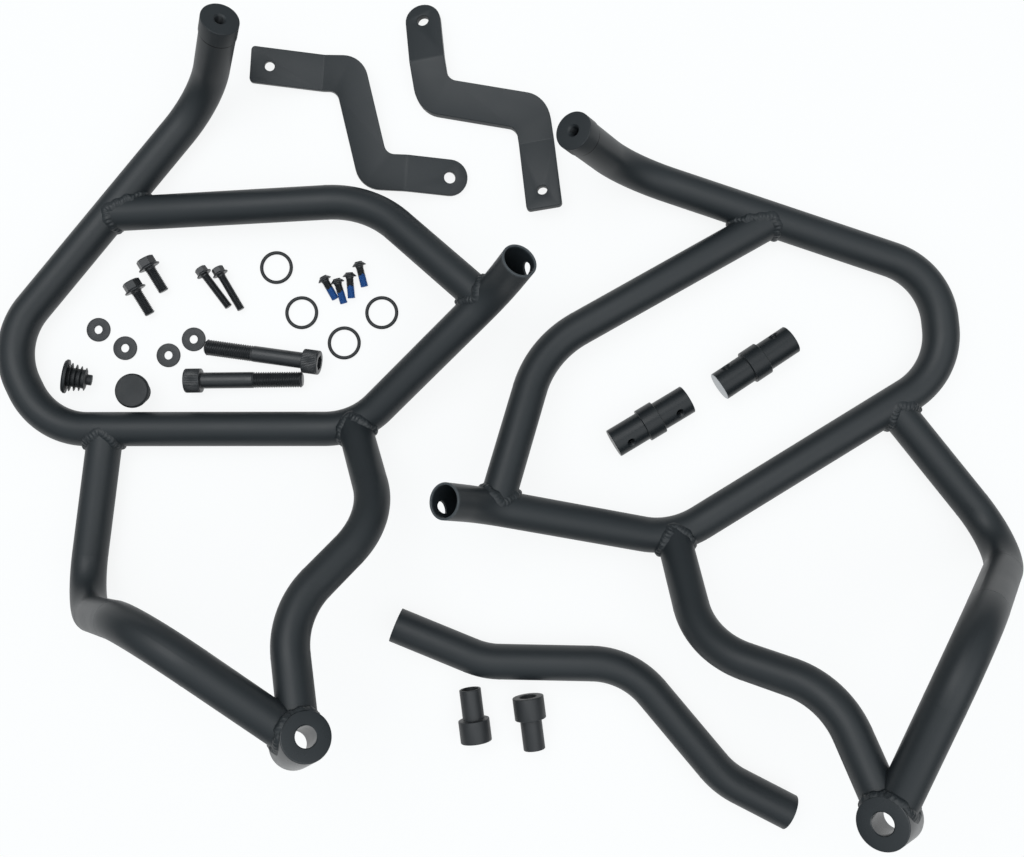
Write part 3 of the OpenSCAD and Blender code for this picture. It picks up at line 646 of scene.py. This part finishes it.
def guardLines(g):
    up = [Vector(g[k]) for k in ("hoopHigh", "armTop", "elbow")]
    knee, low, boss = Vector((g["lowerRun"], 0, 0)), Vector((0, 0, 0)), Vector(g["bossMiddle"])
    lines = {}
    capSeat, openEnd = up[1] + capAxis * (g["topRun"] - g["capLength"]), up[2] + mountAxis * g["openRun"]
    radii = [0, g["bend"], g["hoopBend"], g["hoopBend"], g["bend"], g["bend"], 0]
    lines["main"], marks = centreLine([capSeat, up[1], up[0], low, knee, up[2], openEnd], radii)
    start = up[0] + (up[1] - up[0]).normalized() * g["braceAt"]
    corners = [start, start + Vector(g["braceCorner"]), onBend(marks[4], 0.25)]
    lines["brace"], _ = centreLine(corners, [0, g["braceBend"], 0])
    start = Vector((g["legAt"], 0, 0))
    corners = [start, start + Vector(g["footCorner"]), boss + Vector(g["outerCorner"]), boss]
    lines["outer"], _ = centreLine(corners, [0, g["footBend"], g["bend"], 0])
    corners = [onBend(marks[3], 0.5), knee + Vector(g["innerKnee"]), boss + Vector(g["innerCorner"]), boss]
    lines["inner"], _ = centreLine(corners, [0, g["bend"], g["bend"], 0])
    lines["boss"] = [boss + mountAxis * t for t in range(-15, 16)]
    lines["cap"] = up[1] + capAxis * g["topRun"]
    lines["end"] = openEnd
    return lines


guardShape = guardLines(guard)


def guardMatrix(side):  # from the guard's own frame to its place on the floor; the right one is mirrored
    place = guard[side]
    matrix = Matrix.Translation(Vector((place[0] - middle[0], place[1] - middle[1], guard["stand"])) * mm)
    matrix = matrix @ Matrix.Rotation(math.radians(place[2]), 4, "Z")
    return matrix @ Matrix.Diagonal((-1, 1, 1, 1)) if side == "right" else matrix


def toGuard(bm, side, within=None):
    matrix = guardMatrix(side) @ (within or Matrix())
    bmesh.ops.transform(bm, matrix=matrix, verts=bm.verts)
    if matrix.determinant() < 0:
        bmesh.ops.reverse_faces(bm, faces=bm.faces)
    return bm


def leaning(point, g, lean):  # turns +Z to the leaning axis, with the point as origin
    heading = Matrix.Rotation(math.radians(g["leanHeading"]), 4, "Z")
    return Matrix.Translation(point * mm) @ (heading @ Matrix.Rotation(math.radians(g[lean]), 4, "Y"))


# Bosses and threaded caps
boss = {"edge": 0.8, "counterbore": 8.0, "counterDepth": 22.0}
cap = {
    "outside": 26.4, "head": 13.0, "bore": 3.4, "mouth": 1.1, "spigot": 18.0, "edge": 0.5,
    "gap": 1.1, "gapDepth": 0.45, "pitch": 1.25,
}


def makeBoss(side, g, s):
    o, b, h, e, c = g["bossRadius"], g["bossBore"], g["bossLength"] / 2, s["edge"], s["counterbore"]
    step = s["counterDepth"] - h
    profile = arc(o - e, e - h, e, -90, 0, 4) + arc(o - e, h - e, e, 0, 90, 4)
    profile += [(b + 0.6, h), (b, h - 0.6), (b, step + 0.3), (b + 0.3, step), (c, step)]
    profile += [(c, 0.6 - h), (c + 0.6, -h)]
    bm = toGuard(latheLoop(profile, 96), side, leaning(Vector(g["bossMiddle"]), g, "lean"))
    addPiece(side + "_boss", bm, looks["turned"], "black_powder_coat", side + "_boss")


def makeCap(side, g, s):  # the head shows and laps the tube's end, the spigot fits inside it
    o, b, tube, seat = s["outside"] / 2, s["bore"], g["mainRadius"], g["capLength"]
    inner, low = tube - g["wall"], -seat - s["spigot"]
    profile = [(b + s["mouth"], 0), (o - s["edge"], 0)] + arc(o - s["edge"], -s["edge"], s["edge"], 80, 0, 3)
    groove, lip = o - s["gapDepth"], s["head"] + s["gap"]
    profile += [(o, -s["head"]), (groove, -s["head"] - 0.15), (groove, -lip + 0.1), (tube + 0.1, -lip)]
    profile += [(tube + 0.04, -lip), (tube + 0.04, -seat), (inner, -seat - 0.01), (inner, low), (b, low)]
    profile += rows(b, low + 0.5, -s["mouth"] - 0.2, s["pitch"], 6) + [(b, -s["mouth"])]
    bm = latheLoop(profile, 72)
    for v in bm.verts:
        z, reach = v.co.z / mm, math.hypot(v.co.x, v.co.y) / mm
        if low < z < -s["mouth"] - 0.1 and reach < b + 0.05:
            phase = (z / s["pitch"] - math.atan2(v.co.y, v.co.x) / (2 * math.pi)) % 1.0
            scale = 1 + 0.55 * (1 - abs(2 * phase - 1)) / b
            v.co.x *= scale
            v.co.y *= scale
    # the gap ring behind the head gets painted shade: near-black colour where shade falls in the groove
    layer = bm.verts.layers.float.new("gap")
    for v in bm.verts:
        z, reach = v.co.z / mm, math.hypot(v.co.x, v.co.y) / mm
        v[layer] = 1.0 if -lip - 0.05 < z < -s["head"] - 0.1 and reach > tube + 0.02 else 0.0
    toGuard(bm, side, leaning(guardShape["cap"], g, "capLean"))
    addPiece(side + "_threaded_cap", bm, looks["capped"], "black_powder_coat", side + "_threaded_cap")


for side in sides:
    makeBoss(side, guard, boss)
    makeCap(side, guard, cap)
print("bosses and caps made")


# Hoop tubes: swept along their centre line, with an eased rim and the screw hole at its full size
hoopTube = {"rim": 0.4, "hole": 9.2, "inset": 11.0, "turn": -27.0, "steps": 72}


def sweepTube(line, outer, inner, rim, steps):
    ahead = [(line[min(i + 1, len(line) - 1)] - line[max(i - 1, 0)]).normalized() for i in range(len(line))]
    stations = [(p, t, outer, 0.0) for p, t in zip(line, ahead)]
    point, last = stations.pop()[:2]
    # the eased rim's rings carry mask 1, where the material paints a lighter highlight colour
    edge = arc(outer - rim, -rim, rim, 0, 90, 3) + arc(inner + rim, -rim, rim, 90, 180, 3)
    stations += [(point + last * z, last, r, 1.0) for r, z in edge]
    stations += [(p, t, inner, 0.0) for p, t in zip(line[-2::-1], ahead[-2::-1])]
    bm = bmesh.new()
    layer = bm.verts.layers.float.new("rim")
    side, rings = Vector((0.3, 0.5, 0.8)), []
    for point, t, radius, mask in stations:
        side = (side - t * side.dot(t)).normalized()
        other = t.cross(side)
        ring = []
        for k in range(steps):
            a = 2 * math.pi * k / steps
            ring.append(bm.verts.new((point + (side * math.cos(a) + other * math.sin(a)) * radius) * mm))
            ring[-1][layer] = mask
        rings.append(ring)
    for a, b in zip(rings, rings[1:] + rings[:1]):
        for k in range(steps):
            bm.faces.new((a[k], a[(k + 1) % steps], b[(k + 1) % steps], b[k]))
    bmesh.ops.recalc_face_normals(bm, faces=bm.faces)
    return bm


def makeHoopTube(side, g, line, s):
    name, r, hole = side + "_main_tube", g["mainRadius"], s["hole"] / 2 * mm
    cutter = bmesh.new()
    bmesh.ops.create_cone(cutter, cap_ends=True, segments=64, radius1=hole, radius2=hole, depth=2 * r * mm)
    place = leaning(guardShape["end"], g, "lean") @ Matrix.Rotation(math.radians(s["turn"]), 4, "Z")
    place = place @ Matrix.Translation(Vector((r, 0, -s["inset"])) * mm)
    place = place @ Matrix.Rotation(math.pi / 2, 4, "Y")
    bmesh.ops.transform(cutter, matrix=place, verts=cutter.verts)
    bm = drill(sweepTube(line, r, r - g["wall"], s["rim"], s["steps"]), [cutter])
    addPiece(name, toGuard(bm, side), looks["rimmed"], "black_powder_coat", name, smooth=32)


spaced = [p for i, p in enumerate(guardShape["main"][:-1]) if i % 2 == 0] + guardShape["main"][-1:]
for side in sides:
    makeHoopTube(side, guard, spaced, hoopTube)
print("hoop tubes made")


# Weld beads
weld = {
    "onCarrier": 3.4, "onBranch": 3.2, "bulge": 0.85, "sink": 0.45, "root": 1.2,
    "ripple": 2.6, "rippleDepth": 0.5, "crescent": 0.5, "wander": 1.3, "arc": 9, "step": 0.4, "seed": 40,
}
seamSearch = {"points": 180, "within": 70.0, "far": 60.0, "close": -30.0, "step": 1.5, "halvings": 14}


def distanceTo(line, point):
    return min((point - p).length_squared for p in line) ** 0.5


def nearestOn(line, point):
    i = min(range(len(line)), key=lambda k: (point - line[k]).length_squared)
    a, b = line[max(0, i - 1)], line[min(len(line) - 1, i + 1)]
    share = max(0.0, min(1.0, (point - a).dot(b - a) / (b - a).length_squared))
    return a.lerp(b, share)


def saddle(line, radius, origin, direction, branchRadius, s):  # where a branch meets the carrier's skin
    side = direction.cross(Vector((0, 0, 1))).normalized()
    other = direction.cross(side)
    near = [p for p in line if (p - origin).length < s["within"]]
    points = []
    for i in range(s["points"]):
        a = 2 * math.pi * i / s["points"]
        foot = origin + (side * math.cos(a) + other * math.sin(a)) * branchRadius
        low = high = s["far"]
        while low > s["close"] and distanceTo(near, foot + direction * low) > radius:
            high = low
            low -= s["step"]
        for _ in range(s["halvings"]):
            half = (low + high) / 2
            if distanceTo(near, foot + direction * half) > radius:
                high = half
            else:
                low = half
        points.append(foot + direction * high)
    return points


def evenly(points, step):  # the same loop with points at an even spacing
    loop = points + points[:1]
    lengths = [(b - a).length for a, b in zip(loop, loop[1:])]
    count = round(sum(lengths) / step)
    out, i, done = [], 0, 0.0
    for k in range(count):
        want = sum(lengths) * k / count
        while done + lengths[i] < want:
            done += lengths[i]
            i += 1
        out.append(loop[i].lerp(loop[i + 1], (want - done) / max(lengths[i], 1e-9)))
    return out


def smoothed(vectors, reach):
    count = len(vectors)
    window = range(-reach, reach + 1)
    return [sum((vectors[(i + k) % count] for k in window), Vector()).normalized() for i in range(count)]


def beadAlong(bm, points, carrier, branch, direction, s, seed):  # low rippled fillet between the two skins
    points = evenly(points, s["step"])
    count, shuffle = len(points), random.Random(seed)
    ripples = max(8, round(count * s["step"] / s["ripple"]))
    heights = [shuffle.uniform(0.5, 1.0) for _ in range(ripples + 1)]
    size = s["wander"] / 3
    waves = [(shuffle.uniform(0.3, 1.0) * size, shuffle.uniform(0, 6.28), n) for n in (2, 3, 5, 8, 13)]
    onCarrier = smoothed([(p - nearestOn(carrier, p)).normalized() for p in points], 3)
    onBranch = smoothed([(p - nearestOn(branch, p)).normalized() for p in points], 3)
    along = smoothed([points[(i + 1) % count] - points[i - 1] for i in range(count)], 3)
    rings = []
    for i, p in enumerate(points):
        u, w = onCarrier[i].cross(along[i]).normalized(), onBranch[i].cross(along[i]).normalized()
        u = -u if u.dot(onBranch[i] - direction * 0.3) < 0 else u
        w = -w if w.dot(direction) < 0 else w
        out = (onCarrier[i] + onBranch[i]).normalized()
        turn = 2 * math.pi * i / count
        a, b = [s[width] + sum(size * math.sin(n * turn + phase + k) for size, phase, n in waves)
                for width, k in (("onCarrier", 0.0), ("onBranch", 1.7))]
        ring = []
        for k in range(s["arc"] + 1):
            t = k / s["arc"]
            place = i / count * ripples + s["crescent"] * math.sin(math.pi * t)
            ridge = 0.5 + 0.5 * math.cos(2 * math.pi * place)
            ripple = s["rippleDepth"] * heights[int(place) % ripples] * (ridge - 0.5)
            lift = math.sin(math.pi * t) * (s["bulge"] + ripple)
            sunk = onCarrier[i] * ((1 - t) ** 2) + onBranch[i] * (t ** 2)
            ring.append(p + u * a * (1 - t) + w * b * t + out * lift - sunk * s["sink"])
        ring.append(p - out * s["root"])
        rings.append([bm.verts.new(q * mm) for q in ring])
    for a, b in zip(rings, rings[1:] + rings[:1]):
        for k in range(len(a)):
            bm.faces.new((a[k], a[(k + 1) % len(a)], b[(k + 1) % len(a)], b[k]))


def branchStart(line, reverse=False):  # origin and outward direction of a branch at one of its ends
    points = line[::-1] if reverse else line
    return points[0], (points[12] - points[0]).normalized()


def makeWelds(side, g, lines, s):
    bm = bmesh.new()
    joints = [("main", "brace", False), ("main", "brace", True), ("main", "outer", False),
              ("main", "inner", False), ("boss", "outer", True), ("boss", "inner", True)]
    for i, (carrier, branch, reverse) in enumerate(joints):
        origin, direction = branchStart(lines[branch], reverse)
        line = [origin - direction * 30, origin] + (lines[branch][::-1] if reverse else lines[branch])[1:60]
        seam = saddle(lines[carrier], g[carrier + "Radius"], origin, direction, g["armRadius"], seamSearch)
        beadAlong(bm, seam, lines[carrier], line, direction, s, s["seed"] + i)
    bmesh.ops.recalc_face_normals(bm, faces=bm.faces)
    toGuard(bm, side)
    for v in bm.verts:
        v.co.z = max(v.co.z, 0.0)
    addPiece(side + "_welds", bm, looks["powder"], "black_powder_coat", side + "_welds", smooth=60)


for side in sides:
    makeWelds(side, guard, guardShape, weld)
print("weld beads made")


# Floor, sky and lamps
studio = {
    "floorSize": 6.0, "floorDrop": 0.0002,
    "floorColour": "#eef1f4",
    "glowColour": "#feffff",
    "glow": 0.88,  # share of the floor's white that a shadow can't take away
    "overhead": "#f2faff", "horizon": "#3c4042", "fullHeight": 0.95,
    "key": {"at": (-0.5, 0.5, 1.9), "size": 1.3, "watts": 12.0},
    "fill": {"at": (0.9, -0.6, 1.7), "size": 1.6, "watts": 7.0},
}


def makeFloor(s):
    mesh = bpy.data.meshes.new("floor")
    bm = bmesh.new()
    bmesh.ops.create_grid(bm, x_segments=1, y_segments=1, size=s["floorSize"] / 2)
    bm.to_mesh(mesh)
    bm.free()
    floor = bpy.data.objects.new("floor", mesh)
    bpy.context.scene.collection.objects.link(floor)
    floor.location.z = -s["floorDrop"]
    material, tree = newMaterial("white paper sweep")
    path = addNode(tree, "ShaderNodeLightPath")
    seen = addNode(tree, "ShaderNodeMath", {"operation": "MAXIMUM"},
                   i0=path.outputs["Is Camera Ray"], i1=path.outputs["Is Glossy Ray"])
    share = addNode(tree, "ShaderNodeMath", {"operation": "MULTIPLY"}, i0=seen.outputs[0], i1=s["glow"])
    lit = addNode(tree, "ShaderNodeBsdfDiffuse", Color=linear(s["floorColour"]))
    glow = addNode(tree, "ShaderNodeEmission", Color=linear(s["glowColour"]), Strength=1.0)
    mix = addNode(tree, "ShaderNodeMixShader", i0=share.outputs[0], i1=lit.outputs[0], i2=glow.outputs[0])
    finishMaterial(tree, mix)
    mesh.materials.append(material)


def makeSky(s):
    world = bpy.data.worlds.new("studio")
    bpy.context.scene.world = world
    world.use_nodes = True
    tree = world.node_tree
    tree.nodes.clear()
    path = addNode(tree, "ShaderNodeLightPath")
    direction = addNode(tree, "ShaderNodeTexCoord").outputs["Generated"]
    height = addNode(tree, "ShaderNodeSeparateXYZ", Vector=direction).outputs["Z"]
    rise = addNode(tree, "ShaderNodeMapRange", {"interpolation_type": "SMOOTHSTEP"}, Value=height,
                   From_Min=0.0, From_Max=s["fullHeight"])
    soft = addNode(tree, "ShaderNodeMix", {"data_type": "RGBA"}, Factor=rise.outputs[0],
                   i6=linear(s["horizon"]), i7=linear(s["overhead"]))
    seen = addNode(tree, "ShaderNodeMix", {"data_type": "RGBA"}, Factor=path.outputs["Is Camera Ray"],
                   i6=soft.outputs[2], i7=(1, 1, 1, 1))
    light = addNode(tree, "ShaderNodeBackground", Color=seen.outputs[2], Strength=1.0)
    out = addNode(tree, "ShaderNodeOutputWorld")
    tree.links.new(light.outputs[0], out.inputs["Surface"])


def makeLamp(name, l):
    data = bpy.data.lights.new(name, "AREA")
    data.size = l["size"]
    data.energy = l["watts"]
    lamp = bpy.data.objects.new(name, data)
    lamp.location = l["at"]
    lamp.rotation_euler = (-Vector(l["at"])).to_track_quat("-Z", "Y").to_euler()
    bpy.context.scene.collection.objects.link(lamp)


makeFloor(studio)
makeSky(studio)
makeLamp("key", studio["key"])
makeLamp("fill", studio["fill"])
bpy.context.scene.view_settings.view_transform = "Standard"
print("studio lit")
